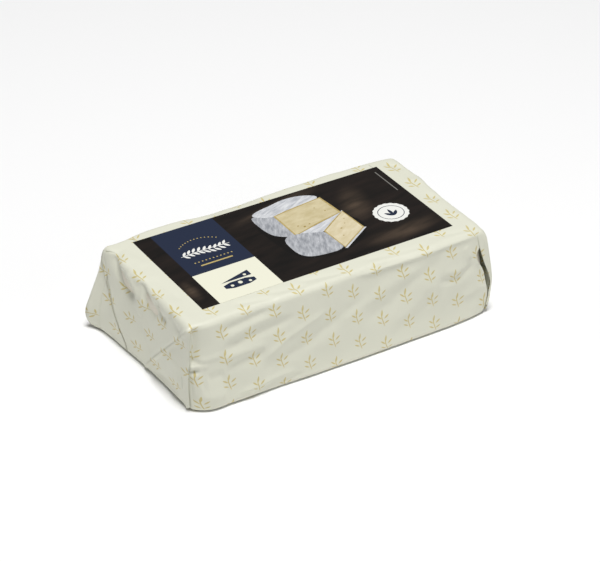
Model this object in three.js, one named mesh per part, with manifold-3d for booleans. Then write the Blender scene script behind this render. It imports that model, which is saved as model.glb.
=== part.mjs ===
// Paper-wrapped block of cheese, lying flat. Millimetres, +Z up.
// X runs along the block, Y from the front (-) to the back (+). The origin is the middle of the underside.
import * as THREE from 'three';
import * as BufferGeometryUtils from 'three/addons/utils/BufferGeometryUtils.js';
import Module from 'manifold-3d';

const wasm = await Module();
wasm.setup();

// driving dimensions
const topLength = 250;
const topWidth = 120;
const height = 69;
const endSpread = 1.5;        // each end leans out by this much at the foot
const sideSpread = 12;        // each long side leans out by this much at the foot
const edgeRadius = 5;

const paper = 0.5;            // wrapper, thickened to a printable wall
const clearance = 0.3;        // between neighbouring pieces
const flapFoot = 20;          // where the loose edge of the end flap meets the foot, from the centre line
const earReach = 13;          // how far the slack back corner of each end stands out
const earHeight = 14;
const earFoot = 8;            // how far it still stands out at the foot
const earTuck = 1;            // the slack begins this far under the flap's loose edge
const earSpan = 0.75;         // the long sides bend towards the ear beyond this share of the half length

const seamOverlap = 26;       // lap seam along the underside
const seamSlit = 0.5;
const seamEnds = 12;          // the slit stops this far from each end
const seamJoin = 4;           // width of the strip that joins the inner layer to the outer one
const seamLift = paper + clearance;

const labelLength = 213;
const labelWidth = 97.5;
const labelShift = new THREE.Vector2(1, 4.5);
const labelThickness = 0.3;

const cheeseColour = 0xefe3bf;
const paperColour = 0xe6e6d4;
const labelColour = 0x2a201d;

const roundSteps = 2;         // facets in half of a rounded edge
const flatSteps = { x: 12, y: 9, z: 7 };

// ---- shape helpers ----

// Grid lines along one side of a rounded box: equal angles in the two round ends, equal lengths between.
function gridLine(index, flat, half, radius) {
  const last = flat + 2 * roundSteps;
  const inner = half - radius;
  if (index < roundSteps) return -inner - radius * Math.tan((Math.PI / 4) * (1 - index / roundSteps));
  if (index > last - roundSteps) return -gridLine(last - index, flat, half, radius);
  return -inner + (2 * inner * (index - roundSteps)) / flat;
}

// A box whose surface is the set of points at `radius` from a smaller box.
function roundedBox(size, radius) {
  const half = size.clone().multiplyScalar(0.5);
  const steps = ['x', 'y', 'z'].map((axis) => flatSteps[axis] + 2 * roundSteps);
  const box = new THREE.BoxGeometry(2, 2, 2, ...steps);
  const position = box.attributes.position;
  const point = new THREE.Vector3();
  const core = new THREE.Vector3();
  const inner = half.clone().subScalar(radius);
  for (let i = 0; i < position.count; i += 1) {
    point.fromBufferAttribute(position, i);
    ['x', 'y', 'z'].forEach((axis, k) => {
      const index = Math.round(((point[axis] + 1) / 2) * steps[k]);
      point[axis] = gridLine(index, flatSteps[axis], half[axis], radius);
    });
    core.copy(point).clamp(inner.clone().negate(), inner);
    point.sub(core).setLength(radius).add(core);
    position.setXYZ(i, point.x, point.y, point.z);
  }
  return box;
}

function box(size, centre) {
  return new THREE.BoxGeometry(...size).translate(...centre);
}

function solid(geometry) {
  const plain = geometry.clone();
  plain.deleteAttribute('normal');
  plain.deleteAttribute('uv');
  const merged = BufferGeometryUtils.mergeVertices(plain, 1e-4);
  const mesh = new wasm.Mesh({
    numProp: 3,
    vertProperties: new Float32Array(merged.attributes.position.array),
    triVerts: new Uint32Array(merged.index.array),
  });
  return new wasm.Manifold(mesh);
}

function geometryOf(manifold) {
  const mesh = manifold.getMesh();
  const geometry = new THREE.BufferGeometry();
  geometry.setAttribute('position', new THREE.BufferAttribute(mesh.vertProperties.slice(), 3));
  geometry.setIndex(new THREE.BufferAttribute(mesh.triVerts.slice(), 1));
  return geometry;
}

// Distance of the end flap's loose edge from the centre line, at height z.
function flapEdge(z) {
  return THREE.MathUtils.lerp(flapFoot, topWidth / 2, z / height);
}

// Leans the ends and long sides outwards towards the foot.
// With `ear` above 0 it also pulls the back corner of both ends out, from nothing at the flap's loose edge.
function spread(geometry, ear = 0) {
  const position = geometry.attributes.position;
  for (let i = 0; i < position.count; i += 1) {
    const x = position.getX(i);
    const y = position.getY(i);
    const z = position.getZ(i);
    const down = 1 - z / height;
    const along = (2 * x) / topLength;
    const edge = flapEdge(z) - earTuck;
    const back = THREE.MathUtils.clamp((y - edge) / (topWidth / 2 - edge), 0, 1);
    const rise = z < earHeight
      ? THREE.MathUtils.mapLinear(z, 0, earHeight, earFoot, earReach)
      : THREE.MathUtils.mapLinear(z, earHeight, height, earReach, 0);
    const nearEnd = THREE.MathUtils.smoothstep(Math.abs(along), earSpan, 1);
    const pull = Math.sign(x) * nearEnd * back * rise * ear;
    position.setX(i, x + along * endSpread * down + pull);
    position.setY(i, y * (1 + (2 * sideSpread * down) / topWidth));
  }
  return geometry;
}

function mesh(name, geometry, colour, roughness) {
  const shape = geometry.index ? geometry.toNonIndexed() : geometry;
  shape.computeVertexNormals();
  const material = new THREE.MeshStandardMaterial({ color: colour, roughness, metalness: 0 });
  const piece = new THREE.Mesh(shape, material);
  piece.name = name;
  return piece;
}

// ---- cheese ----

// One block with its soft rind, standing on the inner layer of the paper's lap seam.
function makeCheese() {
  const wall = paper + clearance;
  const under = 2 * paper + 2 * clearance;
  const size = new THREE.Vector3(topLength - 2 * wall, topWidth - 2 * wall, height - wall - under);
  const block = roundedBox(size, edgeRadius - wall).translate(0, 0, under + size.z / 2);
  return mesh('cheese_block', spread(geometryOf(solid(block))), cheeseColour, 0.7);
}

// ---- wrapper ----

// Outline of the flap folded down over one end, seen from that end: (y, z).
function flapOutline() {
  const side = topWidth / 2 - edgeRadius;
  const low = edgeRadius;
  const high = height - edgeRadius;
  const outline = new THREE.Shape();
  outline.moveTo(-side, low);
  outline.lineTo(flapEdge(low), low);
  outline.lineTo(side, high);
  outline.lineTo(-side, high);
  outline.closePath();
  return outline;
}

function endFlap(side) {
  const plate = new THREE.ExtrudeGeometry(flapOutline(), { depth: 2 * paper, bevelEnabled: false });
  plate.applyMatrix4(new THREE.Matrix4().set(0, 0, 1, 0, 1, 0, 0, 0, 0, 1, 0, 0, 0, 0, 0, 1));
  return solid(plate.translate(side * topLength / 2 - paper, 0, 0));
}

// The paper: a thin shell round the cheese, a folded flap on each end,
// and a lap seam along the underside whose slit is the only way in.
function makeWrapper() {
  const outerSize = new THREE.Vector3(topLength, topWidth, height);
  const innerSize = outerSize.clone().subScalar(2 * paper);
  const outer = solid(roundedBox(outerSize, edgeRadius).translate(0, 0, height / 2));
  const inner = solid(roundedBox(innerSize, edgeRadius - paper).translate(0, 0, height / 2));
  const slitLength = topLength - 2 * seamEnds;
  const slit = solid(box([slitLength, seamSlit, 4 * paper], [0, 0, 0]));
  const joinEdge = seamSlit + seamJoin;
  const join = solid(box([slitLength, seamJoin, seamLift],
    [0, seamSlit + seamJoin / 2, paper / 2 + seamLift / 2]));
  const lap = solid(box([slitLength, seamOverlap, paper],
    [0, joinEdge - seamOverlap / 2, seamLift + paper / 2]));
  const shell = outer.subtract(inner).subtract(slit).add(join).add(lap)
    .add(endFlap(-1)).add(endFlap(1));
  return mesh('wrapper', spread(geometryOf(shell), 1), paperColour, 0.45);
}

// ---- label ----

function makeLabel() {
  const plate = box([labelLength, labelWidth, labelThickness],
    [labelShift.x, labelShift.y, height + clearance + labelThickness / 2]);
  return mesh('top_label', plate, labelColour, 0.4);
}

const wrappedCheese = new THREE.Group();
wrappedCheese.add(makeCheese(), makeWrapper(), makeLabel());

export default wrappedCheese;
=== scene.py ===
import bpy
import numpy as np
from mathutils import Matrix, Vector, geometry


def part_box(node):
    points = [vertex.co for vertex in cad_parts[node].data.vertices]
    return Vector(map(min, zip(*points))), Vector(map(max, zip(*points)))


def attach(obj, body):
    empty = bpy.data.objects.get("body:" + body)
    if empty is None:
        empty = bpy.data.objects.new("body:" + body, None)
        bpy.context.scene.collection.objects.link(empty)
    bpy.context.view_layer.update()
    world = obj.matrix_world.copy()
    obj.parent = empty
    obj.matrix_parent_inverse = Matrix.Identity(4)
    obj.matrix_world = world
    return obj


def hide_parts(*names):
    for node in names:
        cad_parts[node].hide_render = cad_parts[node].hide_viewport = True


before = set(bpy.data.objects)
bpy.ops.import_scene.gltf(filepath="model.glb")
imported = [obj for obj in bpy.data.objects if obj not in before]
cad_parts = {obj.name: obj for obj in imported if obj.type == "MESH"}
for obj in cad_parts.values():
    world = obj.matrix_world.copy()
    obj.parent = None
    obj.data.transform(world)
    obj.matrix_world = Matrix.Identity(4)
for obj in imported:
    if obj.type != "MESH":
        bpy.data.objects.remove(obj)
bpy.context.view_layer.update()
mm = 0.001


# Each sRGB channel c becomes c / 12.92 below 0.04045 and ((c + 0.055) / 1.055) ** 2.4 above it.
def linear(hexColour):
    srgb = np.array([int(hexColour[i:i + 2], 16) for i in (1, 3, 5)]) / 255
    return (*np.where(srgb < 0.04045, srgb / 12.92, ((srgb + 0.055) / 1.055) ** 2.4), 1.0)


# Adds one shader node. Inputs are values or other nodes' sockets, by place or by name.
def add(tree, kind, inputs=None, **settings):
    node = tree.nodes.new("ShaderNode" + kind)
    for name, value in settings.items():
        setattr(node, name, value)
    pairs = inputs.items() if isinstance(inputs, dict) else enumerate(inputs or [])
    for key, value in pairs:
        value = value.outputs[0] if isinstance(value, bpy.types.Node) else value
        if isinstance(value, bpy.types.NodeSocket):
            tree.links.new(value, node.inputs[key])
        elif value is not None:
            node.inputs[key].default_value = value
    return node


# A material with its node tree and its one shader.
def newMaterial(name):
    material = bpy.data.materials.new(name)
    material.use_nodes = True
    tree = material.node_tree
    return material, tree, tree.nodes["Principled BSDF"]


# Points in mm; faces are rows of vertex numbers, where a row that repeats a number is a triangle.
def meshObject(name, points, faces, materials):
    mesh = bpy.data.meshes.new(name)
    rows = [list(dict.fromkeys(row)) for row in faces.tolist()] if len(faces) else []
    mesh.from_pydata((np.asarray(points) * mm).tolist(), [], rows)
    for material in materials:
        mesh.materials.append(material)
    piece = bpy.data.objects.new(name, mesh)
    bpy.context.scene.collection.objects.link(piece)
    return piece


# The squares of a grid of points that are numbered row by row.
def gridFaces(rows, columns):
    index = np.arange(rows * columns).reshape(rows, columns)
    return np.stack([index[:-1, :-1], index[1:, :-1], index[1:, 1:], index[:-1, 1:]], -1).reshape(-1, 4)


# 0 below low, 1 above high, and 3 s^2 - 2 s^3 between.
def smooth(low, high, value):
    s = np.clip((value - low) / (high - low), 0, 1)
    return s * s * (3 - 2 * s)


# Rows of weights that pass a Catmull-Rom curve through one value for each knot.
def curveWeights(knots, at):
    knots = np.asarray(knots, float)
    at = np.clip(at, knots[0], knots[-1])
    k = np.clip(np.searchsorted(knots, at, side="right") - 1, 0, len(knots) - 2)
    gap = knots[k + 1] - knots[k]
    s = (at - knots[k]) / gap
    unit = np.eye(len(knots))
    slope = np.gradient(unit, knots, axis=0)
    h = [2 * s**3 - 3 * s**2 + 1, s**3 - 2 * s**2 + s, 3 * s**2 - 2 * s**3, s**3 - s**2]
    return (h[0][:, None] * unit[k] + h[2][:, None] * unit[k + 1]
            + gap[:, None] * (h[1][:, None] * slope[k] + h[3][:, None] * slope[k + 1]))


# A smooth surface through table["rows"], one row for each height and one number for each place across.
def mapValue(table, across, up):
    a = curveWeights(table["across"], across)
    b = curveWeights(table["up"], up)
    return np.einsum("nj,ni,ij->n", a, b, np.array(table["rows"], float))


# The block as the paper sees it. Each table says how far a side stands out from the top's own outline, in mm.
block = {
    "length": 250.0, "width": 120.0,
    "height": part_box("wrapper")[1].z / mm,
    "rest": 0.5,                 # underside of the folded paper, clear of its tucked tails
    "edge": 4.0,                 # radius of the paper over the cheese's edges
    "reach": 38.0,               # the ends' bulges die out this far along the block
    "sideReach": 42.0,           # and the long sides' this far across it
    # waves of the paper die out over these stretches: y, x and z round the label, and z at the foot
    "calmAcross": (61, 54), "calmAlong": (124, 110), "calmUp": (66, 68), "calmFoot": (0, 6),
}
leftEnd = {"across": [-60, -30, 0, 30, 60], "up": [0, 12, 28, 45, 69], "rows": [
    [0.3, 1.2, 2.4, 5.2, 8.0],
    [1.8, 2.2, 3.0, 5.2, 8.5],
    [2.8, 2.6, 2.6, 3.8, 6.0],
    [1.4, 1.6, 1.6, 2.0, 3.2],
    [0.0, 0.0, 0.0, 0.0, 0.4]]}
rightEnd = {"across": [-60, -30, 0, 30, 60], "up": [0, 12, 28, 45, 69], "rows": [
    [0.2, 1.5, 2.2, 4.0, 6.5],
    [4.8, 3.4, 3.2, 5.0, 8.0],
    [6.4, 4.2, 3.4, 4.6, 6.5],
    [4.2, 3.6, 3.4, 4.2, 5.0],
    [1.2, 1.8, 2.6, 4.2, 3.4]]}
frontSide = {"across": [-125, -115, -95, -60, -20, 20, 60, 95, 112, 125], "up": [0, 12, 28, 45, 69], "rows": [
    [1.5, 8.6, 10.2, 10.8, 12.1, 12.7, 12.9, 12.7, 11.6, 9.5],
    [2.2, 7.0, 8.6, 9.2, 10.0, 10.4, 10.4, 10.4, 10.0, 8.8],
    [2.6, 5.2, 6.6, 7.0, 7.4, 7.6, 7.4, 7.6, 7.4, 7.0],
    [1.6, 3.0, 4.2, 4.6, 4.4, 4.6, 4.8, 4.6, 4.4, 4.2],
    [0.0, 0.0, 0.0, 0.0, 0.0, 0.0, 0.0, 0.0, 0.0, 0.0]]}
backSide = {"across": [-125, -110, -94, -60, -44, -10, 9, 46, 82, 100, 117, 125], "up": [0, 35, 69], "rows": [
    [3.5, 8.0, 10.5, 11.5, 11.5, 11.5, 11.5, 12.0, 11.5, 10.5, 8.0, 4.0],
    [3.0, 5.0, 6.5, 7.5, 7.0, 7.0, 7.5, 8.0, 8.0, 7.0, 5.0, 3.0],
    [0.5, 1.6, 3.6, 3.6, 1.9, 2.0, 2.6, 4.4, 4.0, 3.4, 2.0, 0.4]]}

# Extra pushes of the paper near a place, fading over its reach. "only" names the sheet's panels that it moves.
pushes = [
    {"at": (-125, 64, 12), "reach": (14, 6.5, 15), "push": (-7.2, 1.2, 0), "only": ("back", "lid", "base")},
    {"at": (-125, 62, 34), "reach": (14, 7, 21), "push": (-3.4, 0.6, 0), "only": ("back", "lid", "base")},
    {"at": (125, 64, 15), "reach": (14, 6.5, 20), "push": (6.0, 1.0, 0), "only": ("back", "lid", "base")},
    {"at": (-118, -60, 50), "reach": (5, 8, 18), "push": (0, 1.3, 0), "only": ("front",)},
    {"at": (126, -60, 51), "reach": (7, 12, 9), "push": (-5.5, 0.4, 0), "only": ("front",)},
    {"at": (126, -60, 44), "reach": (8, 12, 12), "push": (-6.0, 0.4, 0), "only": ("front",)},
    {"at": (126, -60, 28), "reach": (8, 12, 9), "push": (-3.5, 0.2, 0), "only": ("front",)},
]

# Folds on each side of the block: a path in mm (along and up, or along and back on the top), its width, how
# far it stands out (dents are negative) and how sharp its crest is (2 is round, 1 comes to a line).
folds = {
    "front": [
        ([(6, 65.5), (43, 65.3), (84, 66.2), (122, 66)], 1.7, 1.5, 1.2),          # pinched edge of the top
        ([(-102, 59.1), (-87, 60.3), (-70, 61.8), (-59, 62.9)], 2.6, -0.9, 2),
        ([(-102, 52.4), (-86, 55), (-68, 57.2), (-48, 59)], 2.4, 0.6, 1.7),
        ([(-104, 45), (-84, 47.1), (-65, 49.2), (-49, 51), (-38, 53.6)], 3.2, -1.2, 2),
        ([(-104, 38.6), (-87, 38.9), (-72, 38.9), (-64, 38)], 2.8, 1.1, 1.6),
        ([(-100, 30.2), (-85, 31.2), (-72, 32.9), (-66, 35)], 3.0, -1.0, 2),
        ([(-70, 27), (-58, 33.4), (-48.5, 38.6), (-28, 45.4), (-12, 50.5)], 2.4, 1.2, 1.1),
        ([(-76, 18.5), (-55, 23.2), (-39, 26.3), (-22, 33.1), (-1, 40.9), (24, 48)], 4.5, -1.1, 2),
        ([(-92, 8), (-70, 9.4), (-56, 11), (-42, 10.8)], 2.4, 1.2, 1.5),
        ([(-60, 3.5), (-48, 5), (-36, 6)], 2.0, -0.6, 2),
        ([(-120, 14), (-110, 11.5), (-98, 12)], 5.5, 1.3, 2),                      # pillow at the foot
        ([(-112, 25), (-100, 28)], 4.0, -0.8, 2),
        ([(-14, 36), (10, 41), (30, 47), (52, 54), (70, 59)], 4.5, 0.9, 2),
        ([(14, 28), (38, 36), (57, 46), (72, 53), (90, 58)], 5.0, -0.9, 2),
        ([(30, 18), (60, 28), (86, 46)], 6.0, 0.6, 2),
        ([(80, 42), (90, 39.6), (100, 38.5), (108, 42.5), (114, 46)], 2.8, -1.2, 1.8),
        ([(86, 48), (97, 44), (104, 48)], 2.6, 0.7, 1.8),
        ([(106, 61), (109, 49)], 2.6, 0.7, 1.7),
        ([(114, 44), (117, 32), (119, 23)], 2.8, -0.9, 1.8),
        ([(70, 39), (70.4, 29), (71.5, 22)], 2.2, -0.6, 1.8),
        ([(100, 20), (112, 24), (122, 28)], 3.5, 0.6, 1.8),
        ([(123.6, 66), (123.6, 16)], 1.5, 1.4, 1.2),                                # folded edge, right
        # the slack beside the left corner
        ([(-120.8, 70), (-121.0, 52), (-121.8, 36)], 2.8, -2.6, 1.8),
        ([(-124, 41.6), (-115, 39)], 1.6, -0.9, 1.7),
        ([(-119, 41.2), (-110, 41.2), (-101, 42)], 1.6, 0.8, 1.5),
        ([(-125, 37), (-118, 36), (-110, 36)], 1.3, 0.9, 1.4),
        ([(-130, 33.4), (-124, 33.2), (-116, 34)], 1.3, -2.0, 1.4),
        ([(-123, 30), (-116, 30.5)], 1.6, 0.7, 1.6),
        ([(-122.4, 31), (-122, 20), (-121.6, 4)], 1.5, -1.3, 1.6),
        ([(-117.5, 28), (-116.5, 16)], 1.1, 0.5, 1.5),
        ([(-114.5, 26), (-113.5, 14)], 1.1, -0.4, 1.6),
    ],
    "left": [
        ([(52, 70), (40, 62), (32, 56), (25, 52), (12, 49)], 4.4, -3.2, 1.8),
        ([(27, 66), (18, 63), (12, 59), (9, 52)], 2.2, 1.6, 1.4),
        ([(10, 70), (2, 61), (-6, 56), (-18, 51)], 4.0, -3.0, 1.8),
        ([(-12, 64), (-20, 56), (-31, 57)], 3.2, -2.0, 1.8),
        ([(2, 56), (6, 48), (8, 40)], 3.5, 0.8, 1.8),
        ([(-32, 66), (-42, 60), (-50, 57)], 3.5, -1.0, 1.8),
        # crease from corner to foot
        ([(-76, 90), (-61, 70.5), (-46, 53), (-25, 29), (-8, 10), (5, -8)], 1.4, 2.2, 1.1),
        ([(31, 18), (11, 17), (2, 11), (-7, 12)], 1.5, 0.5, 1.3),
        ([(44, 40), (36, 24), (28, 10)], 4.0, 0.8, 2),
        ([(8, 30), (-6, 20), (-14, 10)], 6.0, -0.8, 2),
        ([(-20, 8), (-34, 10), (-50, 12)], 3.0, -0.6, 2),
        ([(-44, 34), (-40, 18)], 6.0, 0.7, 2),
    ],
    "right": [
        ([(46, 66), (36, 58), (26, 52)], 4.0, -1.9, 1.8),
        ([(20, 66), (12, 58), (4, 50)], 4.2, -1.9, 1.8),
        ([(-14, 66), (-22, 57), (-30, 52)], 4.0, -1.5, 1.8),
        ([(-61, 69), (-46, 54), (-25, 29), (2, 0)], 1.6, 1.0, 1.2),
        ([(10, 30), (-10, 18)], 6.0, -0.8, 2),
        ([(-40, 40), (-36, 20)], 6.0, 0.8, 2),
    ],
    "top": [
        ([(-86, -49.5), (-70, -53), (-52, -57)], 2.4, -0.7, 1.8),
        ([(-60, -49.5), (-44, -52.5), (-26, -56)], 2.4, -0.6, 1.8),
        ([(-32, -49), (-12, -52), (8, -56)], 2.2, -0.6, 1.8),
        ([(20, -48), (50, -54), (80, -57)], 2.6, -0.5, 1.8),
        ([(80, -48), (104, -53), (118, -55)], 2.2, -0.5, 1.8),
        ([(-118, 48), (-112, 20)], 3.5, 0.4, 2),
        ([(-116, 8), (-112, -30)], 3.5, -0.4, 2),
        ([(112, 52), (122, 40)], 2.6, -0.6, 1.8),
        ([(112, 28), (123, 18)], 2.6, 0.5, 1.8),
        ([(112, 2), (123, -10)], 2.8, -0.6, 1.8),
        ([(111, -24), (122, -36)], 2.8, 0.5, 1.8),
        ([(-44, 56), (-10, 58), (12, 56)], 3.0, -0.8, 2),
    ],
    "back": [
        ([(-110, 55), (-80, 40), (-50, 20)], 7.0, 1.2, 2),
        ([(-60, 58), (-20, 48), (10, 34)], 6.0, -1.2, 2),
        ([(0, 22), (40, 36), (70, 50)], 6.0, 1.2, 2),
        ([(60, 14), (90, 26), (116, 40)], 6.0, -1.1, 2),
        ([(-96, 26), (-70, 12), (-40, 8)], 5.0, -1.0, 2),
        ([(20, 10), (50, 16), (84, 30)], 4.0, 0.9, 1.6),
    ],
}

# The paper's slow swell and its finer crumple, lengths and heights in mm.
swell = {"seed": 7, "waves": 14, "longest": 85.0, "shortest": 24.0, "height": 0.30}
crumple = {"seed": 19, "waves": 22, "longest": 34.0, "shortest": 9.0, "height": 0.075}


# Sum of plane waves in random directions, each as high as its length; a sharp one is a row of creases.
def waves(settings, points, sharp):
    rng = np.random.default_rng(settings["seed"])
    total = np.zeros(len(points))
    for _ in range(settings["waves"]):
        direction = rng.normal(size=3)
        direction /= np.linalg.norm(direction)
        length = rng.uniform(settings["shortest"], settings["longest"])
        phase = points @ direction * 2 * np.pi / length + rng.uniform(0, 2 * np.pi)
        wave = 1 - 2 * np.abs(np.sin(phase / 2)) if sharp else np.sin(phase)
        total += wave * settings["height"] * length / settings["longest"]
    return total


# A path on one side of the plain block becomes points in space.
def onSide(side, path):
    along, other = np.array(path, float).T
    halfLength, halfWidth = block["length"] / 2, block["width"] / 2
    places = {"front": (along, -halfWidth, other), "back": (along, halfWidth, other),
              "left": (-halfLength, along, other), "right": (halfLength, along, other),
              "top": (along, other, block["height"])}
    return np.stack(np.broadcast_arrays(*places[side]), axis=1)


# out * exp(-(distance from the path / width) ^ power), fading over the last fifth of the path at both ends.
def alongFold(path, width, out, power, points):
    nearest = np.full(len(points), 1e9)
    share = np.zeros(len(points))
    lengths = np.linalg.norm(np.diff(path, axis=0), axis=1)
    done = np.concatenate([[0], np.cumsum(lengths)])
    for start, end, length, before in zip(path[:-1], path[1:], lengths, done):
        s = np.clip((points - start) @ (end - start) / length**2, 0, 1)
        away = np.linalg.norm(points - start - s[:, None] * (end - start), axis=1)
        share = np.where(away < nearest, (before + s * length) / done[-1], share)
        nearest = np.minimum(away, nearest)
    fade = smooth(0, 0.2, share) * smooth(1, 0.8, share)
    return out * np.exp(-((nearest / width) ** power)) * fade


# Carries points of the plain rounded box to where the loose, folded paper lies.
def settle(points, normals, panels, creased=1.0, follow=1.0):
    x, y, z = points.T
    halfLength, halfWidth = block["length"] / 2, block["width"] / 2
    moved = points.copy()
    endWeight = smooth(halfLength - block["reach"], halfLength, np.abs(x))
    sideWeight = smooth(halfWidth - block["sideReach"], halfWidth, np.abs(y))
    moved[:, 0] += endWeight * np.where(x < 0, -mapValue(leftEnd, y, z), mapValue(rightEnd, y, z))
    moved[:, 1] += sideWeight * np.where(y < 0, -mapValue(frontSide, x, z), mapValue(backSide, x, z))
    for push in pushes:
        apart = (points - np.array(push["at"], float)) / np.array(push["reach"], float)
        weight = np.exp(-(apart**2).sum(axis=1))
        weight = weight * np.isin(panels, push["only"])
        moved += weight[:, None] * np.array(push["push"], float)
    underLabel = smooth(*block["calmAcross"], np.abs(y)) * smooth(*block["calmAlong"], np.abs(x))
    underLabel = underLabel * smooth(*block["calmUp"], z)
    loose = (1 - underLabel) * smooth(*block["calmFoot"], z)
    out = loose * (waves(swell, points, False) + waves(crumple, points, True))
    for side, paths in folds.items():
        for path, width, height, power in paths:
            out += alongFold(onSide(side, path), width, height, power, points)
    return points + follow * (moved - points) + (creased * out)[:, None] * normals


# One sheet of coated paper, folded round the block: four panels round the girth, and at each end the lid's
# panel folded down over the two sides' and the base's.
sheet = {
    "alongBlock": (1.6, 0.95, 22.0),   # step along the block, finer step near the ends and that part's length
    # across each panel: fine step, coarse step and width of the fine margins
    "lid": (1.2, 5.0, 14.0),
    "front": (1.0, 1.5, 9.0),
    "back": (2.2, 3.0, 10.0),
    "base": (4.0, 9.0, 12.0),
    "endStep": {-1: 1.15, 1: 1.9},     # across and down the end flaps, left and right
    "labelEnd": 103.0,                 # the lid's grid is coarse under the label, up to here
    "arcSteps": 5,
    "lap": 26.0,                       # overlap of the seam along the underside
    "layer": 0.25,                     # gap between one layer and the next
    "tail": 22.0,                      # length of the end flap tucked under the block
    "hem": 9.0,                        # width of the paper turned back behind the flap's edges
    # the flap's folded front edge: height, width, and the back edge's share of that height
    "ridge": (1.5, 1.6, 0.5),
    "thickness": 0.12,
}
# The front's and back's flaps under the end flap: how far each goes on at the top and at the foot, and in
# how many steps.
underFlaps = {"front": {"shallow": 8, "deepest": 34, "steps": 9},
              "back": {"shallow": 10, "deepest": 60, "steps": 14},
              "round": 0.16}           # share of the steps on the rounded upright edge
# The end flap's front edge that goes on round the right corner: its width at heights from the middle, and its
# profile across, where the last points turn back under it.
wrappedStrip = {
    "start": 0.2,                      # share of the rounded top edge left free
    "heights": [-16, -2, 10, 22, 30, 36], "widths": [0.2, 2.2, 4.6, 6.6, 7.0, 3.5],
    "across": [0, 0.15, 0.35, 0.55, 0.75, 0.9, 1.0, 1.0, 0.8, 0.5],
    "below": [0, 0, 0, 0, 0, 0, 0.05, 0.2, 0.2, 0.2],
    "lift": 0.45,                      # how far it lies above the plain block
}
# The pinched pleat down each end: its place from the centre line at distances t from the top, its half width
# and its depth there. It starts near the back corner and closes towards the foot. Across it, five grid lines
# have a place, a depth and a darkness of painted shade, as shares of the whole.
pleat = {
    "column": 45.0, "beside": 0.5 * np.arange(-2, 3),
    "t": [0, 6, 12, 26, 40, 52, 65, 100], "place": [45, 57.5, 56.5, 50, 39.3, 30.7, 21.5, 14],
    "half": [0.5, 1.2, 2.0, 1.7, 1.2, 0.9, 0.7, 0.6], "depth": [0, 0.8, 2.2, 2.2, 1.9, 1.6, 1.4, 0],
    "paintedShade": [0.15, 0.8, 1.0, 0.9, 0.1],
    "across": [-1.0, -0.75, 0.2, 0.75, 1.0], "sink": [0, 0.95, 1.0, 0.8, -0.15],
}
axes = {                         # outward and sideways directions of each panel
    "lid": ((0, 0, 1), (0, 1, 0)),
    "front": ((0, -1, 0), (0, 0, 1)),
    "back": ((0, 1, 0), (0, 0, -1)),
    "base": ((0, 0, -1), (0, -1, 0)),
}
halfSize = np.array([block["length"] / 2, block["width"] / 2, (block["height"] - block["rest"]) / 2])
middle = np.array([0, 0, block["rest"] + halfSize[2]])
arc = block["edge"] * np.pi / 2


# Half the block's size outwards from a panel, and half the panel's own width.
def halves(panel):
    outward, sideways = np.abs(np.array(axes[panel], float))
    return outward @ halfSize, sideways @ halfSize


# Half a panel's width along the paper, up to the middle of its two rounded edges.
def limit(panel):
    return halves(panel)[1] - block["edge"] + arc / 2


# Grid lines across a panel: fine in its margins and on its rounded edges.
def lines(panel, step=None):
    fine, coarse, margin = sheet[panel]
    flat = halves(panel)[1] - block["edge"]
    rounded = np.linspace(flat, limit(panel), sheet["arcSteps"])[1:]
    fineLines = np.linspace(flat - margin, flat, max(2, round(margin / fine) + 1))
    count = max(2, round(2 * (flat - margin) / (step or coarse)) + 1)
    coarseLines = np.linspace(margin - flat, flat - margin, count)
    half = np.concatenate([fineLines, rounded])
    return np.unique(np.round(np.concatenate([-half, coarseLines, half]), 6))


# Grid lines across the lid near an end: as fine as the end's own, and finer still where the pleat starts.
def endLines(side):
    q = lines("lid", sheet["endStep"][side])
    start = pleat["column"]
    flat = halves("lid")[1] - block["edge"]
    close = np.concatenate([start + pleat["beside"], np.linspace(start + 1, flat, 22)])
    return np.unique(np.round(np.concatenate([q[q < start - 1.3], close, q[q > close[-1] + 0.1]]), 6))


# Points and normals at distance t past the start of the rounded end edge, q across, off above the block.
# The section is flat, a quarter turn over the end, straight down it, a quarter turn and the tail below.
def place(panel, side, t, q, off):
    outward, sideways = np.array(axes[panel], float)
    ahead = np.array([side, 0, 0], float)
    r = block["edge"]
    deep = halves(panel)[0]
    t, q, off = np.broadcast_arrays(np.asarray(t, float), q, off)
    down = np.clip(t - arc, 0, 2 * (deep - r))
    under = np.clip(t - 2 * arc - 2 * (deep - r), 0, None)
    turn = (np.clip(t, 0, arc) + np.clip(t - arc - 2 * (deep - r), 0, arc)) / r
    flat = halves(panel)[1] - r
    c = np.clip(q, -flat, flat)
    lean = np.tan(np.clip((q - c) / r, -1.2, 1.2))
    normal = (np.cos(turn)[..., None] * outward + np.sin(turn)[..., None] * ahead
              + lean[..., None] * sideways)
    normal /= np.linalg.norm(normal, axis=-1, keepdims=True)
    core = ((deep - r - down)[..., None] * outward + c[..., None] * sideways
            + (halfSize[0] - r + np.minimum(t, 0) - under)[..., None] * ahead)
    return middle + core + (r + off)[..., None] * normal, normal


# Where the print lies on the sheet, in mm: the sheet is taut round the girth and eased over the lid and ends.
printLay = {"lidScale": 0.8, "endScale": 1.17, "frontMiddle": 35.2, "frontScale": 1.015, "lidMiddle": 117.8,
            "frontLean": 0.087, "endLean": 0.18, "endLeanReach": 70}


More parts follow.
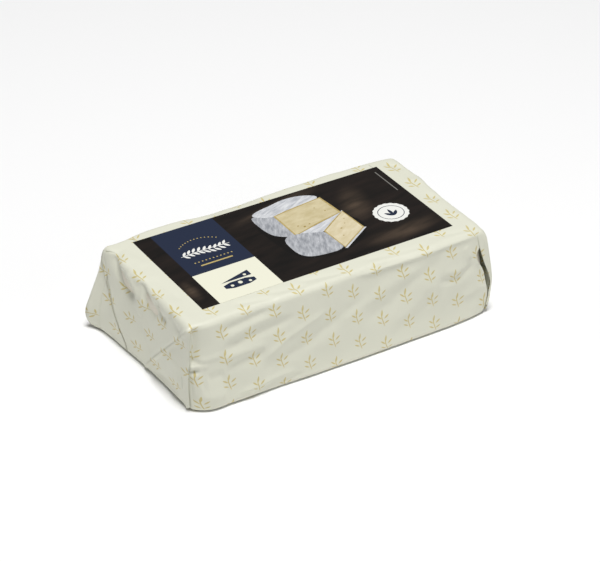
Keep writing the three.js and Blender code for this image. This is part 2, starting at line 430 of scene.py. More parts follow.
# Distance along and across the sheet, so that the print runs on over every edge.
def printPlace(panel, side, t, q):
    along = side * (halfSize[0] - block["edge"] + np.where(t > 0, printLay["endScale"] * t, t))
    edge = printLay["lidMiddle"] - printLay["lidScale"] * limit("lid")
    far = printLay["lidMiddle"] + printLay["lidScale"] * limit("lid")
    flat = halves("front")[1] - block["edge"]
    low = printLay["frontMiddle"] - printLay["frontScale"] * flat
    high = printLay["frontMiddle"] + printLay["frontScale"] * flat
    turn = edge - high
    if panel == "lid":
        across = printLay["lidMiddle"] + printLay["lidScale"] * q
        across = across - printLay["endLean"] * np.clip(t - arc, 0, printLay["endLeanReach"])
    elif panel == "front":
        across = np.interp(q, [-limit("front"), -flat, flat, limit("front")], [low - turn, low, high, edge])
        along = along + printLay["frontLean"] * (across - edge)
    elif panel == "back":
        across = far + turn + flat * printLay["frontScale"] + printLay["frontScale"] * q
    else:
        across = low - turn - printLay["lidScale"] * (q + limit("base"))
    return np.stack(np.broadcast_arrays(along, across), axis=-1)


patches = []


# Keeps one grid of the sheet, to be welded to the others where they meet.
def addPatch(panel, side, t, q, off, flip, shade=0.0, owner=None):
    t, q, off, shade = np.broadcast_arrays(np.asarray(t, float), q, off, shade)
    points, normals = place(panel, side, t, q, off)
    quads = gridFaces(*t.shape)
    patches.append({"points": points.reshape(-1, 3), "normals": normals.reshape(-1, 3),
                    "print": printPlace(panel, side, t, q).reshape(-1, 2),
                    "shade": shade.reshape(-1), "panel": np.full(t.size, owner or panel),
                    "quads": quads[:, ::-1] if flip else quads})


# The girth: lid, front and back whole, and the base as two strips that overlap in the lap seam.
def makeTube():
    coarse, fine, fineLength = sheet["alongBlock"]
    reach = halfSize[0] - block["edge"]
    labelEnd = sheet["labelEnd"] - reach
    whole = np.unique(np.round(np.concatenate([
        np.linspace(-reach, -fineLength, round((reach - fineLength) / coarse)),
        np.linspace(-fineLength, 0, round(fineLength / fine)), [labelEnd]]), 6))
    for side in (-1, 1):
        t = whole[:, None]
        inner, outer = t[whole <= labelEnd], t[whole >= labelEnd]
        addPatch("lid", side, inner, lines("lid")[None, :], 0.0, side < 0)
        addPatch("lid", side, outer, endLines(side)[None, :], 0.0, side < 0)
        for panel in ("front", "back"):
            addPatch(panel, side, t, lines(panel)[None, :], 0.0, side < 0)
        q = lines("base")
        half = sheet["lap"] / 2
        addPatch("base", side, t, np.append(q[q < half], half)[None, :], 0.0, side < 0)
        over = np.append(-half, q[q > -half])
        addPatch("base", side, t, over[None, :], sheet["layer"] * smooth(20, 0, over)[None, :], side < 0)


# How far the end flap stands above the plain block: one layer up, and more along its two folded edges, which
# make the block's upright edges crisp. Both edges lie at one distance from the centre line.
def flapHeight(t, across, edge, grown):
    height, width, backShare = sheet["ridge"]
    crisp = height * smooth(2, 9, t)
    return (sheet["layer"] * grown + crisp * np.exp(-np.abs(across + edge) / width)
            + backShare * crisp * np.exp(-np.abs(edge - across) / width))


# The lid's own flap, outermost: down the end and under the block, with both side edges turned back.
def makeEndFlap(side):
    straight = 2 * (halfSize[2] - block["edge"])
    foot = arc + straight
    downSteps = round(straight / sheet["endStep"][side])
    t = np.concatenate([np.linspace(0, arc, 7), arc + np.linspace(0, straight, downSteps)[1:],
                        foot + np.linspace(0, arc, 6)[1:],
                        foot + arc + np.linspace(0, sheet["tail"], 5)[1:]])[:, None]
    q = endLines(side)[None, :]
    wide = limit("lid")
    under = smooth(foot, foot + arc, t)
    edge = wide - (arc / 2 + 6) * under
    start, half, depth = (np.interp(t, pleat["t"], pleat[key]) for key in ("place", "half", "depth"))
    column = pleat["column"]
    # columns slide sideways so that five of them follow the pleat down
    before = -edge + (q + wide) * (start - half + edge) / (column - 1 + wide)
    after = start + half + (q - column - 1) * (edge - start - half) / (wide - column - 1)
    pleatLines = column + pleat["beside"]
    inPleat = start + half * np.interp(q, pleatLines, pleat["across"])
    across = np.where(q < column - 1, before, np.where(q > column + 1, after, inPleat))
    across = np.where(t <= 0, q, across)
    sink = depth * np.interp(q, pleatLines, pleat["sink"], 0, 0) * (1 - under)
    grown = smooth(0, 7, t)
    off = flapHeight(t, across, edge, grown) - sink
    # painted shade: darkens the paper's colour down the pleat's groove, with none on the tail under the block
    shade = np.interp(q, pleatLines, pleat["paintedShade"], 0, 0) * smooth(2, 9, t) * (1 - under)
    addPatch("lid", side, t, across, off, side < 0, shade)
    turned = np.minimum(0.8 * t, sheet["hem"]) * (1 - under)
    share = np.array([0, -0.12, 0, 0.25, 0.6, 1.0])[None, :]     # of the hem; below 0 is the fold itself
    drop = np.array([0, 0.5, 1, 1, 1, 1])[None, :] * np.minimum(0.16, 0.04 * t)
    inward = np.where(share < 0, share * 1.2 * grown, share * turned)
    for sign in (1, -1):
        if side > 0 and sign < 0:
            continue
        hemPlace = sign * (edge - inward)
        hemHeight = flapHeight(t, hemPlace, edge, grown) - drop
        addPatch("lid", side, t, hemPlace, hemHeight, (side < 0) != (sign < 0))
    if side > 0:
        makeWrappedStrip(side, t, off[:, :1])


# At the right end the flap's front edge goes on round the corner: a strip along the front, widest at the top.
def makeWrappedStrip(side, t, off):
    straight = 2 * (halfSize[2] - block["edge"])
    keep = (t[:, 0] > wrappedStrip["start"] * arc) & (t[:, 0] < arc + straight)
    down, off = t[keep] - arc, off[keep]
    high = halfSize[2] - block["edge"] - down
    width = np.interp(high, wrappedStrip["heights"], wrappedStrip["widths"])
    s = np.array(wrappedStrip["across"])[None, :]
    lower = np.array(wrappedStrip["below"])[None, :]
    settled = off + (wrappedStrip["lift"] - off) * smooth(0, 0.5, s)
    addPatch("front", side, arc / 2 - width * s, high + 0 * s, settled - lower, True, 0.0, "lid")


# The front's and back's flaps, turned round the upright edges, and the base's innermost one.
def makeUnderFlaps(side):
    turned = underFlaps["round"]
    for panel in ("front", "back"):
        flap = underFlaps[panel]
        q = lines(panel)[None, :]
        low = (q + limit(panel)) / (2 * limit(panel))
        low = low if panel == "back" else 1 - low
        depth = flap["shallow"] + (flap["deepest"] - flap["shallow"]) * low
        s = np.concatenate([np.linspace(0, 1, 7)[:-1] * turned, np.linspace(turned, 1, flap["steps"])])
        s = s[:, None]
        t = np.where(s <= turned, s / turned * arc, arc + (s - turned) / (1 - turned) * depth)
        addPatch(panel, side, t, q, -sheet["layer"] * smooth(0, 7, t), side < 0)
    q = lines("base")
    half = sheet["lap"] / 2
    t = np.concatenate([np.linspace(0, arc, 5), arc + np.linspace(0, 30, 7)[1:]])[:, None]
    for part, outer in ((np.append(q[q < half], half), 0), (np.append(-half, q[q > -half]), 1)):
        part = part[None, :]
        first = outer * sheet["layer"] * smooth(20, 0, part)
        addPatch("base", side, t, part, first - 2 * sheet["layer"] * smooth(0, 7, t), side < 0)


# Joins the patches into one mesh: points of the plain box that fall together become one.
def weld():
    keys = ("points", "normals", "panel", "print", "shade")
    points, normals, panels, places, shade = (np.concatenate([p[key] for p in patches]) for key in keys)
    starts = np.cumsum([0] + [len(p["points"]) for p in patches])
    quads = np.concatenate([p["quads"] + start for p, start in zip(patches, starts)])
    _, first, same = np.unique(np.round(points, 3), axis=0, return_index=True, return_inverse=True)
    same = same.reshape(-1)
    welded = same[quads]
    distinct = np.array([len(set(row)) for row in welded.tolist()])
    welded, quads = welded[distinct > 2], quads[distinct > 2]
    return points[first], normals[first], panels[first], shade[first], welded, places[quads]


# The whole sheet, with its print laid on as a UV map, the pleat's painted shade as an attribute, and its
# thickness.
def makeWrapper(material):
    makeTube()
    for side in (-1, 1):
        makeEndFlap(side)
        makeUnderFlaps(side)
    points, normals, panels, shade, faces, places = weld()
    piece = meshObject("paper_wrapper", settle(points, normals, panels), faces, [material])
    layer = piece.data.uv_layers.new(name="printLay")
    rows = [[corner for k, corner in enumerate(place) if k == row.index(row[k])]
            for row, place in zip(faces.tolist(), places.tolist())]
    layer.data.foreach_set("uv", np.array([corner for row in rows for corner in row]).ravel() * mm)
    # the pleat's painted shade, from 0 to 1 at each point
    pleatShadeMask = piece.data.attributes.new("foldShade", "FLOAT", "POINT")
    pleatShadeMask.data.foreach_set("value", np.clip(shade, 0, 1))
    piece.data.shade_smooth()
    wall = piece.modifiers.new("paper thickness", "SOLIDIFY")
    wall.thickness = sheet["thickness"] * mm
    wall.offset = -1
    print("wrapper", len(piece.data.vertices), "points", len(piece.data.polygons), "faces")
    return piece


# The cheese itself, under the paper: a soft-cornered block whose bloomy rind shows the press cloth a little.
cheese = {"inset": 2.4, "edge": 9.0, "lines": (64, 34, 20), "follow": 0.85}
rind = {"seed": 31, "waves": 30, "longest": 22.0, "shortest": 6.0, "height": 0.10}
# Its bloom: patches about 17 mm across and fuzz of about 1 mm, which is coarser than real mould.
bloom = {"cream": "#E6DDC4", "white": "#F6F3EA", "roughness": 0.85, "patches": 60.0, "fuzz": 900.0}


# Grid lines from -1 to 1 along one side of a rounded box: equal angles on the round ends, equal steps
# between.
def boxLines(count, half, radius):
    ends = (half - radius + radius * np.tan(np.linspace(0, np.pi / 4, 6))) / half
    flat = (half - radius) / half
    return np.concatenate([-ends[::-1], np.linspace(-flat, flat, count)[1:-1], ends])


# Points at one radius from a smaller box, worked out on the six faces of a grid.
def makeCheese(material):
    size = halfSize - cheese["inset"]
    inner = size - cheese["edge"]
    points, faces, start = [], [], 0
    for axis in range(3):
        a, b = (axis + 1) % 3, (axis + 2) % 3
        for side in (-1, 1):
            u = boxLines(cheese["lines"][a], size[a], cheese["edge"]) * size[a]
            v = boxLines(cheese["lines"][b], size[b], cheese["edge"]) * size[b]
            grid = np.zeros((len(u), len(v), 3))
            grid[..., a], grid[..., b] = np.meshgrid(u, v, indexing="ij")
            grid[..., axis] = side * size[axis]
            quads = start + gridFaces(len(u), len(v))
            faces.append(quads if side > 0 else quads[:, ::-1])
            points.append(grid.reshape(-1, 3))
            start += grid[..., 0].size
    points, faces = np.concatenate(points), np.concatenate(faces)
    _, first, same = np.unique(np.round(points, 4), axis=0, return_index=True, return_inverse=True)
    points, faces = points[first], same.reshape(-1)[faces]
    core = np.clip(points, -inner, inner)
    normals = (points - core) / np.linalg.norm(points - core, axis=1, keepdims=True)
    points = middle + core + cheese["edge"] * normals
    points = settle(points, normals, np.full(len(points), "cheese"), 0.0, cheese["follow"])
    points += waves(rind, points, False)[:, None] * normals
    piece = meshObject("rinded_cheese", points, faces, [material])
    piece.data.shade_smooth()
    print("cheese", len(piece.data.polygons), "faces")
    return piece


# The label: one flat sheet whose printed areas are cut into it as faces, so that every edge is clean.
labelBox = [np.array(corner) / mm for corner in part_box("top_label")]
label = {
    "gap": 0.07, "thickness": 0.1,
    "panelLeft": 14.0, "panelWidth": 51.7, "panelSplit": 38.0,   # from the label's front left corner
    "stemUp": 25, "wedgeDown": 27,                               # from the line between the two panels
    "seal": (79, -6.4), "edgeLine": (101.4, 17, 102.3, 47),
}


# A closed curve: each pass cuts every corner of the outline at a quarter of its sides.
def rounded(outline, passes=2):
    points = np.array(outline, float)
    for _ in range(passes):
        ahead = np.roll(points, -1, axis=0)
        points = np.stack([0.75 * points + 0.25 * ahead, 0.25 * points + 0.75 * ahead], 1).reshape(-1, 2)
    return points


# Points at equal angles on an ellipse, with its edge waved a number of times if asked.
def oval(centre, width, height, count=20, turn=0.0, lobes=0, depth=0.0):
    angle = np.linspace(0, 2 * np.pi, count, endpoint=False)
    size = 1 + depth * np.cos(lobes * angle)
    x, y = width / 2 * size * np.cos(angle), height / 2 * size * np.sin(angle)
    return np.stack([x * np.cos(turn) - y * np.sin(turn), x * np.sin(turn) + y * np.cos(turn)], 1) + centre


# A pointed leaf from its foot: its half width is width * sin(pi * s) ^ 0.8 along its length.
def leaf(foot, length, width, turn, steps=5):
    s = np.linspace(0, 1, steps + 2)
    half = width / 2 * np.sin(np.pi * s) ** 0.8
    side = np.stack([length * s, half], 1)
    other = np.stack([length * s[1:-1][::-1], -half[1:-1][::-1]], 1)
    outline = np.concatenate([side, other])
    turning = np.array([[np.cos(turn), np.sin(turn)], [-np.sin(turn), np.cos(turn)]])
    return outline @ turning + foot


# An outline drawn in towards its middle by so many mm at its corners.
def shrunk(outline, by):
    inward = outline.mean(axis=0) - outline
    return outline + by * inward / np.linalg.norm(inward, axis=1, keepdims=True)


# From its front left corner to its back right one.
def rectangle(x0, y0, x1, y1):
    return np.array([(x0, y0), (x1, y0), (x1, y1), (x0, y1)], float)


# A garland of leaves on a stem, with an arch of dots over it, and a row of dots and a rule under it.
def garland(centre, stem):
    areas = []
    for k in range(9):
        for side in (-1, 1):
            foot = (centre - 18 + 4.1 * k, stem + 1.2 * np.sin(k * 0.8))
            areas.append(("white", leaf(foot, 6.2 - 0.12 * abs(k - 4), 2.1, side * 0.85)))
    stalk = [(centre - 20, stem - 0.6), (centre, stem + 0.5), (centre + 20, stem - 0.6),
             (centre + 20, stem + 0.1), (centre, stem + 1.2), (centre - 20, stem + 0.1)]
    areas.append(("white", rounded(stalk, 1)))
    for k in range(13):
        angle = np.pi / 2 + (k - 6) * 0.115
        spot = (centre + 24 * np.cos(angle), stem - 8 + 24 * np.sin(angle))
        areas.append(("pale", oval(spot, 1.1, 1.1, 8)))
    for k in range(11):
        areas.append(("pale", oval((centre - 15 + 3 * k, stem - 11.5), 1.3, 1.3, 8)))
    areas.append(("pale", rectangle(centre - 13, stem - 17, centre + 13, stem - 15.6)))
    return areas


# A wedge of cheese: its side, its top and four holes.
def wedge(centre, foot):
    left, right = centre - 13, centre + 12
    front = [(left, foot), (right, foot), (right, foot + 7.5), (left, foot + 7.5)]
    upper = np.array([(left, foot + 9), (right, foot + 9), (right, foot + 15.5)])
    areas = [("navy", rounded(front, 1)), ("navy", upper)]
    for x, y, size in ((-7, 3.4, 2.6), (0, 4.4, 3.4), (7.4, 2.9, 2.4), (7.5, 11.2, 2.4)):
        areas.append(("cream", oval((centre + x, foot + y), size, size, 12)))
    return areas


# Two cut pieces of white-rind cheese, one before the other, and the shadow round them.
def cutCheese():
    shadow = [(-20, 30), (-19, 8), (-15, -24), (4, -33), (27, -33), (54, -17), (52, 8), (20, 16)]
    backSide = [(-13, 39.5), (-17, 35), (-15.5, 12), (-8, 4.6), (0.6, 0.9), (8, 14), (3, 32)]
    backTop = [(-15, 39), (-9, 43.5), (6, 46), (20, 49), (36, 46.5), (46.5, 38.5), (30, 33), (0, 30)]
    backRim = np.array([(-0.6, 1.7), (47.4, 12.6), (48.3, 11.2), (0.2, 0.2)])
    backFace = np.array([(0.3, 32.0), (12, 34.2), (45, 37.8), (46.4, 24), (47.2, 12.6), (24, 7.4),
                         (0.3, 1.7)])
    frontSide = [(-10.5, 4.6), (8, 2.4), (21.5, -2.4), (24.5, -16), (23.6, -30), (2, -29), (-8.5, -25),
                 (-12, -16)]
    frontTop = np.array([(6, 2.4), (20, -3.4), (22, -3.2), (49.2, 13.4), (48.6, 14.4), (46, 12.0),
                         (24, 6.4)])
    frontRim = np.array([(50.6, -12.9), (52.0, -13.6), (24, -30.3), (22.6, -29.4)])
    frontFace = np.array([(21.6, -3.0), (35, 5.6), (48.9, 13.6), (50.6, -12.9), (36, -21.5),
                          (23, -28.8)])
    areas = [
        ("shadow", rounded(shadow)), ("rindSide", rounded(backSide)), ("rindTop", rounded(backTop)),
        ("rindTop", backRim), ("pasteEdge", backFace), ("pasteBack", shrunk(backFace, 1.6)),
        ("rindSide", rounded(frontSide)), ("rindTop", frontTop), ("rindTop", frontRim),
        ("pasteEdge", frontFace), ("pasteFront", shrunk(frontFace, 1.3)),
    ]
    for x, y, size in ((9, 12, 1.1), (13, 9, 1.6), (18, 10.5, 1.2), (33, 27, 0.9), (38, 20, 1.0),
                       (29, 1, 1.0), (35, -6, 1.3), (41, -1.5, 0.9), (44, 4, 0.8), (31, -15, 0.9)):
        areas.append(("hole", oval((x, y), 1.5 * size, size, 8, 0.3)))
    return areas


# A plain white seal with a wavy edge, a thin ring and three leaves.
def seal(x, y):
    areas = [("white", oval((x, y), 28, 25, 72, 0, 18, 0.025)), ("navy", oval((x, y), 21, 18.6, 40)),
             ("white", oval((x, y), 19.8, 17.4, 40))]
    for side in (-1, 0, 1):
        turn = np.pi / 2 + side * 0.75
        areas.append(("navy", leaf((x, y - 4.6), 9.5 - abs(side) * 1.5, 2.8, turn)))
    return areas


# The printed areas, from the ground up; a later one covers an earlier one.
def printedAreas():
    low, high = labelBox[0][:2], labelBox[1][:2]
    x0, x1 = low[0] + label["panelLeft"], low[0] + label["panelLeft"] + label["panelWidth"]
    split = low[1] + label["panelSplit"]
    centre = (x0 + x1) / 2
    areas = [("wood", rectangle(*low, *high)), ("navy", rectangle(x0, split, x1, high[1])),
             ("cream", rectangle(x0, low[1], x1, split))]
    areas += garland(centre, split + label["stemUp"]) + wedge(centre, split - label["wedgeDown"])
    areas += cutCheese() + seal(*label["seal"])
    areas.append(("grey", rectangle(*label["edgeLine"])))
    return areas


# Which points lie inside an outline: a ray to the left of each crosses its sides an odd number of times.
def inside(outline, points):
    a, b = outline, np.roll(outline, -1, axis=0)
    x, y = points[:, 0, None], points[:, 1, None]
    spans = (a[:, 1] > y) != (b[:, 1] > y)
    rise = np.where(b[:, 1] == a[:, 1], 1e-9, b[:, 1] - a[:, 1])
    crossing = a[:, 0] + (y - a[:, 1]) / rise * (b[:, 0] - a[:, 0])
    return (spans & (x < crossing)).sum(axis=1) % 2 == 1


# Every outline becomes edges of one flat mesh, and each face takes the last printed area that it lies in.
def makeLabel(materials):
    areas = printedAreas()
    places, sides, start = [], [], 0
    for _, outline in areas:
        places += [Vector(point) for point in outline.tolist()]
        sides += [(start + k, start + (k + 1) % len(outline)) for k in range(len(outline))]
        start += len(outline)
    points, _, faces, _, _, _ = geometry.delaunay_2d_cdt(places, sides, [], 1, 1e-4)
    flat = np.array([tuple(point) for point in points])
    faces = np.array(faces)
    centres = flat[faces].mean(axis=1)
    kinds = list(materials)
    ink = np.zeros(len(faces), int)
    for name, outline in areas:
        ink[inside(outline, centres)] = kinds.index(name)
    height = np.full((len(flat), 1), block["height"] + label["gap"] + label["thickness"])
    piece = meshObject("picture_label", np.hstack([flat, height]), faces, list(materials.values()))
    piece.data.polygons.foreach_set("material_index", ink)
    wall = piece.modifiers.new("label thickness", "SOLIDIFY")
    wall.thickness = label["thickness"] * mm
    wall.offset = -1
    print("label", len(faces), "faces")
    return piece


# The view of the picture. Angles in degrees, lengths in mm.
view = {"azimuth": -34.519, "elevation": 33.870, "roll": 2.407, "distance": 1457.0,
        "aim": (0.765, -5.466, 33.936), "lens": 119.72, "sensor": 36}
# Softboxes: place and size in metres, power in watts.
studio = {
    "sky": 0.17,
    "top": {"place": (-0.15, -0.35, 3.0), "size": 1.0, "power": 84.0},
    "front": {"place": (0.6, -1.4, 0.9), "size": 0.8, "power": 2.0},
    "left": {"place": (-1.6, -0.2, 0.8), "size": 0.8, "power": 0.8},
    "backdrop": {"colour": "#F8F8F8", "roughness": 0.8, "half": 4000},
}


# Looks along the azimuth and down by the elevation, then turns about the line of sight by the roll.
def makeCamera():
    azimuth, elevation, roll = np.radians([view["azimuth"], view["elevation"], view["roll"]])
    ahead = np.array([-np.sin(azimuth) * np.cos(elevation), np.cos(azimuth) * np.cos(elevation),
                      -np.sin(elevation)])
    right = np.cross(ahead, (0, 0, 1))
    right /= np.linalg.norm(right)
    up = np.cross(right, ahead)
    across = np.cos(roll) * right + np.sin(roll) * up
    upward = np.cos(roll) * up - np.sin(roll) * right
    camera = bpy.data.objects.new("camera", bpy.data.cameras.new("camera"))
    bpy.context.scene.collection.objects.link(camera)
    turned = Matrix(np.stack([across, upward, -ahead], axis=1).tolist()).to_4x4()
    place = (np.array(view["aim"]) - ahead * view["distance"]) * mm
    camera.matrix_world = Matrix.Translation(place.tolist()) @ turned
    camera.data.lens = view["lens"]
    camera.data.sensor_width = view["sensor"]
    camera.data.clip_end = 20
    bpy.context.scene.camera = camera
    print("camera", [round(value, 4) for value in place])


# White room light, three softboxes that face the block, and a floor of matt white paper that hides its edge.
def makeStudio():
    scene = bpy.context.scene
    scene.view_settings.view_transform = "Standard"
    world = bpy.data.worlds.new("studio")
    scene.world = world
    world.use_nodes = True
    world.node_tree.nodes["Background"].inputs["Color"].default_value = (1, 1, 1, 1)
    world.node_tree.nodes["Background"].inputs["Strength"].default_value = studio["sky"]
    for name in ("top", "front", "left"):
        lamp = studio[name]
        light = bpy.data.lights.new(name + " softbox", "AREA")
        light.size = lamp["size"]
        light.energy = lamp["power"]
        holder = bpy.data.objects.new(name + "_softbox", light)
        scene.collection.objects.link(holder)
        place = Vector(lamp["place"])
        holder.matrix_world = Matrix.Translation(place) @ place.to_track_quat("Z", "Y").to_matrix().to_4x4()
    backdrop = studio["backdrop"]
    material, _, shader = newMaterial("white paper backdrop")
    shader.inputs["Base Color"].default_value = linear(backdrop["colour"])
    shader.inputs["Roughness"].default_value = backdrop["roughness"]
    corners = backdrop["half"] * np.array([(-1, -1, 0), (1, -1, 0), (1, 1, 0), (-1, 1, 0)])
    floor = meshObject("studio_floor", corners, np.array([[0, 1, 2, 3]]), [material])
    print("studio", len(bpy.data.lights), "lights")


# Thin coated paper with small gold sprigs in a slanting lattice. The coating is half glossy, so that the
# folds catch the light.
paper = {
    # the third colour is painted shade for the pleat's groove
    "white": "#DEDECD", "gold": "#C8B668", "paintedPleatShade": "#8F866B", "roughness": 0.42,
    "across": 21.6, "down": 8.81, "repeat": 20.25, "origin": (-21.2, 51.2),   # the print's lattice in mm
    "left": 4, "under": 16,      # each cell's room left of and under the sprig's top left corner
    # each leaf: middle from that corner, half length, half width, turn in degrees
    "leaves": [((6.4, -2.4), 2.5, 0.62, 78), ((3.4, -5.2), 2.5, 0.6, 140), ((9.4, -5.6), 2.5, 0.6, 32),
               ((3.2, -9.2), 2.3, 0.56, 152), ((9.0, -9.8), 2.3, 0.56, 20)],
    "stem": {"across": 6.2, "down": 7.2, "halfWidth": 0.38, "halfLength": 5.0, "bend": 0.7, "turns": 0.32},
    "printEdge": (1.2, 0.8), "printDepth": 0.8,
    "cockle": {"Scale": 90.0, "Detail": 5.0, "Roughness": 0.6},   # 90 in a metre, so 11 mm and finer
    "cockleHeight": 0.0006,      # in metres
}


def makePaper():
    material, tree, shader = newMaterial("coated wrapping paper")
    # where in its own cell of the slanting lattice each point lies, in mm
    lay = add(tree, "UVMap", uv_map="printLay")
    inMillimetres = add(tree, "VectorMath", [lay, (1000, 1000, 0)], operation="MULTIPLY")
    u, v, _ = add(tree, "SeparateXYZ", [inMillimetres]).outputs
    fromLeft = add(tree, "Math", [u, paper["left"] - paper["origin"][0]], operation="ADD")
    column = add(tree, "Math", [fromLeft, paper["across"]], operation="DIVIDE")
    index = add(tree, "Math", [column], operation="FLOOR")
    inColumn = add(tree, "Math", [column], operation="FRACT")
    x = add(tree, "Math", [inColumn, paper["across"], -paper["left"]], operation="MULTIPLY_ADD")
    shifted = add(tree, "Math", [index, paper["down"], v], operation="MULTIPLY_ADD")
    fromUnder = add(tree, "Math", [shifted, paper["under"] - paper["origin"][1]], operation="ADD")
    row = add(tree, "Math", [fromUnder, paper["repeat"]], operation="DIVIDE")
    inRow = add(tree, "Math", [row], operation="FRACT")
    y = add(tree, "Math", [inRow, paper["repeat"], -paper["under"]], operation="MULTIPLY_ADD")
    spot = add(tree, "CombineXYZ", [x, y])
    # a leaf is where (along / length)^2 + |beside / width| is below 1
    nearest = None
    for centre, length, width, turn in paper["leaves"]:
        own = add(tree, "Mapping", {"Vector": spot, "Location": (*centre, 0),
                                    "Rotation": (0, 0, np.radians(turn)),
                                    "Scale": (length, width, 1)}, vector_type="TEXTURE")
        along, beside, _ = add(tree, "SeparateXYZ", [own]).outputs
        value = add(tree, "Math", [along, along, add(tree, "Math", [beside], operation="ABSOLUTE")],
                    operation="MULTIPLY_ADD")
        nearest = value if nearest is None else add(tree, "Math", [nearest, value], operation="MINIMUM")
    # the stem bends as bend * sin(turns * y)
    stem = paper["stem"]
    bend = add(tree, "Math", [add(tree, "Math", [y, stem["turns"]], operation="MULTIPLY")], operation="SINE")
    bent = add(tree, "Math", [bend, -stem["bend"], x], operation="MULTIPLY_ADD")
    aside = add(tree, "Math", [bent, stem["across"]], operation="SUBTRACT")
    aside = add(tree, "Math", [aside], operation="ABSOLUTE")
    aside = add(tree, "Math", [aside, stem["halfWidth"]], operation="DIVIDE")
    off = add(tree, "Math", [add(tree, "Math", [y, stem["down"]], operation="ADD")], operation="ABSOLUTE")
    off = add(tree, "Math", [off, stem["halfLength"]], operation="DIVIDE")
    onStem = add(tree, "Math", [aside, off], operation="MAXIMUM")
    nearest = add(tree, "Math", [nearest, onStem], operation="MINIMUM")
    # gold on white, then painted shade in the pleat: the colour darkened to brown down the groove
    outer, inner = paper["printEdge"]
    printed = add(tree, "MapRange", {"Value": nearest, "From Min": outer, "From Max": inner, "To Min": 0.0,
                                     "To Max": paper["printDepth"]})
    tone = add(tree, "Mix", {"Factor": printed, "A": linear(paper["white"]), "B": linear(paper["gold"])},
               data_type="RGBA")
    pleatShadeMask = add(tree, "Attribute", attribute_name="foldShade")
    shaded = add(tree, "Mix", {"Factor": pleatShadeMask.outputs["Fac"], "A": tone.outputs["Result"],
                               "B": linear(paper["paintedPleatShade"])}, data_type="RGBA")
    tree.links.new(shaded.outputs["Result"], shader.inputs["Base Color"])
    shader.inputs["Roughness"].default_value = paper["roughness"]
    # slight cockling between the folds
    solid = add(tree, "TexCoord").outputs["Object"]
    fine = add(tree, "TexNoise", {"Vector": solid, **paper["cockle"]})
    bump = add(tree, "Bump", {"Strength": 0.35, "Distance": paper["cockleHeight"],
                              "Height": fine.outputs["Fac"]})
    tree.links.new(bump.outputs["Normal"], shader.inputs["Normal"])
    return material


# Printing inks on glossy label paper. A second colour lies in streaks over the first: grain on planks, mould
# and creases on the rinds. The streaks are grain mm wide and long.
inks = {
    "wood": {"colour": "#0F0C0A", "lit": "#221A16", "grain": (9, 55), "turn": 8},
    "shadow": {"colour": "#0B0908", "lit": "#15100D", "grain": (9, 55), "turn": 8},
    "navy": {"colour": "#212A40"},
    "cream": {"colour": "#E9E8D4"},
    "white": {"colour": "#EBEBE6"},
    "pale": {"colour": "#BDAA6C"},
    "grey": {"colour": "#7C7A75"},
    "rindTop": {"colour": "#B0B3B9", "lit": "#E2E3E5", "grain": (2.2, 12), "turn": 20},
    "rindSide": {"colour": "#8C8F95", "lit": "#C6C8CC", "grain": (2.6, 9), "turn": 62},
    "pasteEdge": {"colour": "#A8925A", "lit": "#C2B078", "grain": (2, 4), "turn": 0},
    "pasteBack": {"colour": "#C3B58C", "lit": "#D6CAA6", "grain": (5, 12), "turn": 10},
    "pasteFront": {"colour": "#CFC19C", "lit": "#DFD4B6", "grain": (5, 12), "turn": 30},
    "hole": {"colour": "#A08A4E"},
}
inkGloss = {"Roughness": 0.4, "Specular IOR Level": 0.3}
# Lamplight on the printed planks: middle, reach along and across in mm, and turn in degrees.
lampColour = "#544639"
lamplight = [((74, -31), 44, 13, 6), ((62, 16), 16, 30, -24), ((-101, -22), 7, 16, 0), ((12, 44), 60, 7, 12)]


# One material for each ink, by the name of the ink.
def makeInks():
    made = {}
    for name, ink in inks.items():
        material, tree, shader = newMaterial("label print, " + name)
        shader.inputs["Base Color"].default_value = linear(ink["colour"])
        for socket, value in inkGloss.items():
            shader.inputs[socket].default_value = value
        if "lit" in ink:
            solid = add(tree, "TexCoord").outputs["Object"]
            grain = addGrain(tree, solid, ink)
            tone = add(tree, "Mix", {"Factor": grain, "A": linear(ink["colour"]), "B": linear(ink["lit"])},
                       data_type="RGBA").outputs["Result"]
            if name == "wood":
                tone = addLamplight(tree, solid, grain, tone)
            tree.links.new(tone, shader.inputs["Base Color"])
        made[name] = material
    return made


# Streaks from 0 to 1: noise stretched along the grain.
def addGrain(tree, solid, ink):
    narrow, long = ink["grain"]
    turned = add(tree, "Mapping", {"Vector": solid, "Rotation": (0, 0, np.radians(-ink["turn"]))})
    stretched = add(tree, "VectorMath", [turned, (1000 / long, 1000 / narrow, 1)], operation="MULTIPLY")
    noise = add(tree, "TexNoise", {"Vector": stretched, "Scale": 1.0, "Detail": 6.0, "Roughness": 0.62})
    return add(tree, "MapRange", {"Value": noise.outputs["Fac"], "From Min": 0.36, "From Max": 0.68})


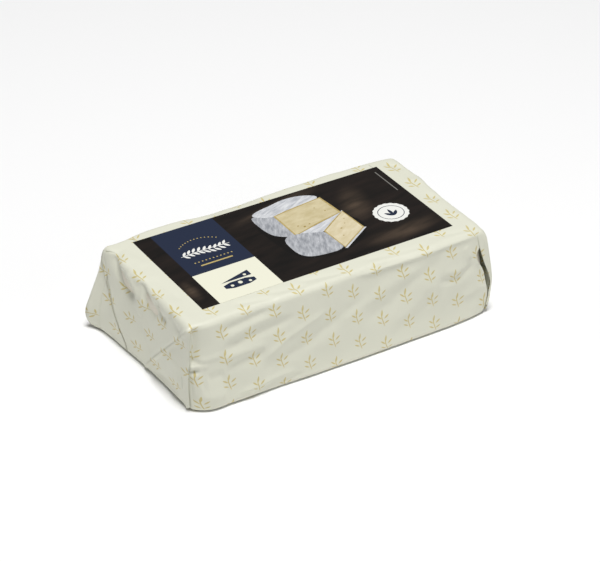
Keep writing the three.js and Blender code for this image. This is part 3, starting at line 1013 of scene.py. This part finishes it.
# Brightens the planks round each spot, smoothly from its middle to nothing at its reach, more on the grain.
def addLamplight(tree, solid, grain, tone):
    total = None
    for (x, y), along, across, turn in lamplight:
        own = add(tree, "Mapping", {"Vector": solid, "Location": (x * mm, y * mm, block["height"] * mm),
                                    "Rotation": (0, 0, np.radians(turn)),
                                    "Scale": (along * mm, across * mm, 1)}, vector_type="TEXTURE")
        away = add(tree, "VectorMath", [own], operation="LENGTH").outputs["Value"]
        spot = add(tree, "MapRange", {"Value": away, "From Min": 1.0, "From Max": 0.0},
                   interpolation_type="SMOOTHSTEP")
        total = spot if total is None else add(tree, "Math", [total, spot], operation="ADD", use_clamp=True)
    patchy = add(tree, "Math", [grain, 0.75, 0.25], operation="MULTIPLY_ADD")
    lit = add(tree, "Math", [total, patchy], operation="MULTIPLY")
    mixed = add(tree, "Mix", {"Factor": lit, "A": tone, "B": linear(lampColour)}, data_type="RGBA")
    return mixed.outputs["Result"]


# The cheese's bloom, dry and white over cream, which looks like felt.
def makeRind():
    material, tree, shader = newMaterial("white bloomy rind")
    solid = add(tree, "TexCoord").outputs["Object"]
    mottle = add(tree, "TexNoise", {"Vector": solid, "Scale": bloom["patches"], "Detail": 6.0})
    tone = add(tree, "Mix", {"Factor": mottle.outputs["Fac"], "A": linear(bloom["cream"]),
                             "B": linear(bloom["white"])}, data_type="RGBA")
    tree.links.new(tone.outputs["Result"], shader.inputs["Base Color"])
    shader.inputs["Roughness"].default_value = bloom["roughness"]
    fuzz = add(tree, "TexNoise", {"Vector": solid, "Scale": bloom["fuzz"], "Detail": 4.0})
    bump = add(tree, "Bump", {"Strength": 0.5, "Distance": 0.0005, "Height": fuzz.outputs["Fac"]})
    tree.links.new(bump.outputs["Normal"], shader.inputs["Normal"])
    return material


makeCamera()
makeStudio()
cheeseBlock = makeCheese(makeRind())
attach(cheeseBlock, "root")
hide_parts("cheese_block")

wrapper = makeWrapper(makePaper())
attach(wrapper, "root")
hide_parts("wrapper")

topLabel = makeLabel(makeInks())
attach(topLabel, "root")
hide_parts("top_label")
